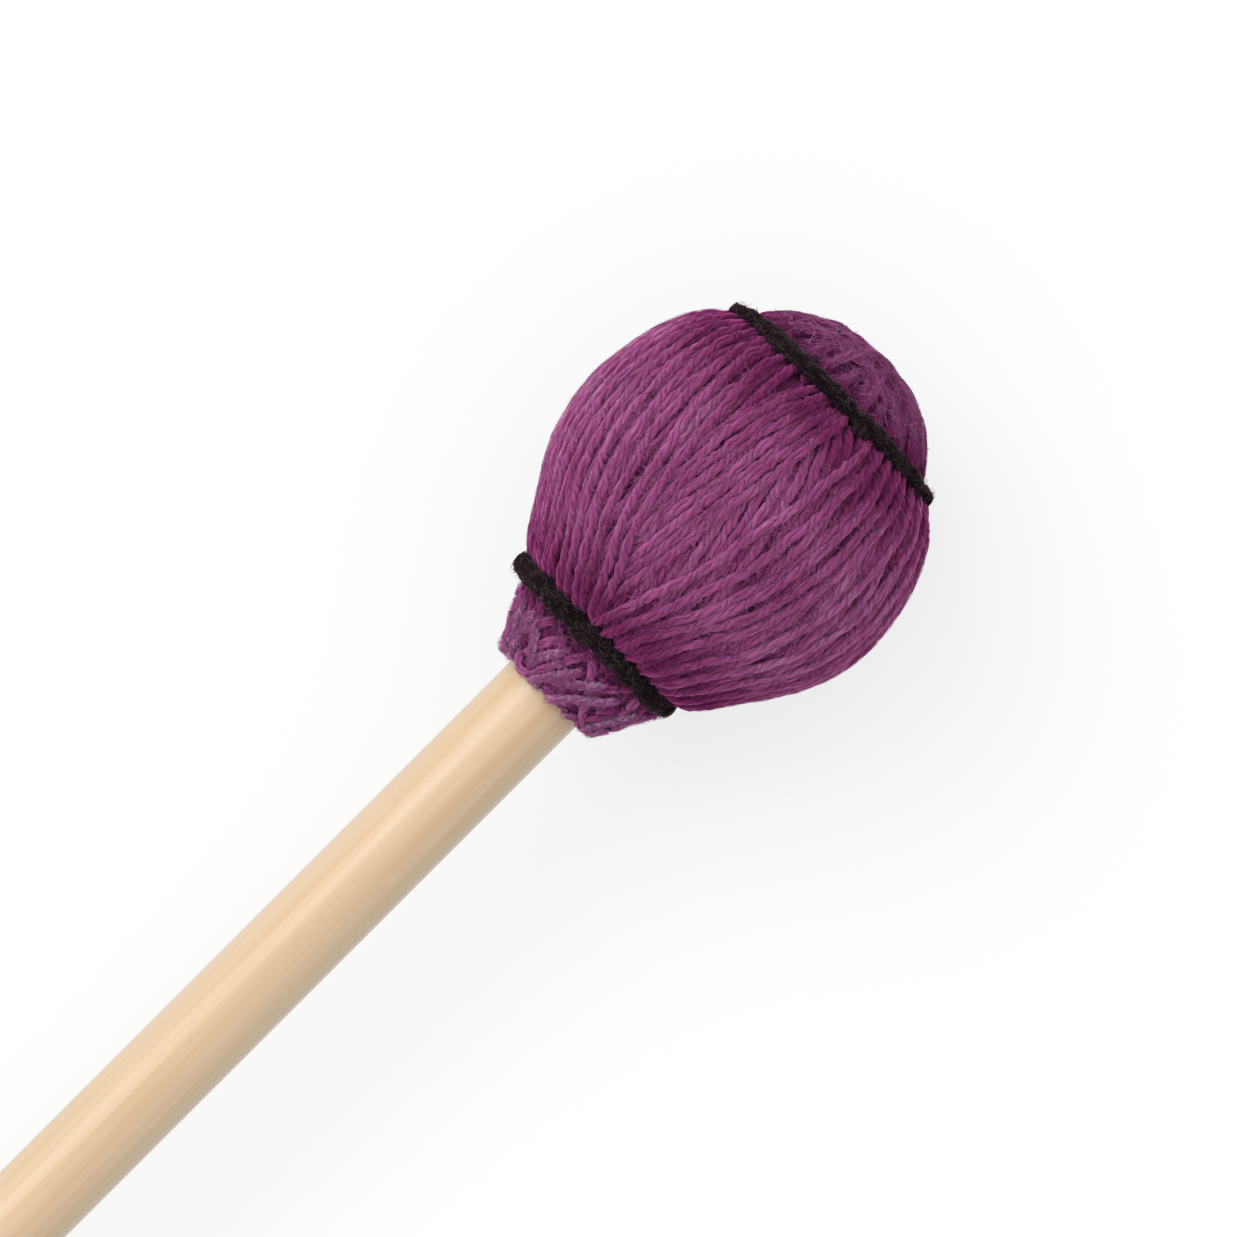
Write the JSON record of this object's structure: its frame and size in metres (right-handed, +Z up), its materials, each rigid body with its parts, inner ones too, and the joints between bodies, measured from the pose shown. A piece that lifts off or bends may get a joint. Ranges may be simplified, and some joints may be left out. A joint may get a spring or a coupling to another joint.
{
  "type": "vibraphone mallet",
  "caption": "Yarn-wound vibraphone mallet lying at rest: a straight rattan shaft with a pear-shaped head of long wool passes, stitched round its neck and round its crown with black thread.",
  "frame": {"origin": "on the surface that the mallet lies on, under the middle of its length and width", "axes": "+Z up from that surface; +X along the mallet from the butt to the crown of the head, level, so that the shaft rises by 1.86 degrees towards the head; +Y across it"},
  "size_m": [0.3982, 0.0336, 0.0331],
  "materials": {
    "rattan": "pale rattan cane, peeled, sanded and thinly lacquered to a satin",
    "rubber": "moulded black rubber, matt",
    "latex": "stretched natural latex tape",
    "inner_yarn": "plied wool-blend yarn, wound tight",
    "outer_yarn": "plied wool-blend yarn, plum, with short fuzz",
    "thread": "plied black wool thread"
  },
  "bodies": {
    "root": {"shaft": "rattan", "core": "rubber", "latex_jacket": "latex", "inner_winding": "inner_yarn", "outer_winding": "outer_yarn", "neck_stitch": "thread", "neck_knot": "thread", "crown_stitch": "thread", "crown_knot": "thread"}
  },
  "joints": []
}
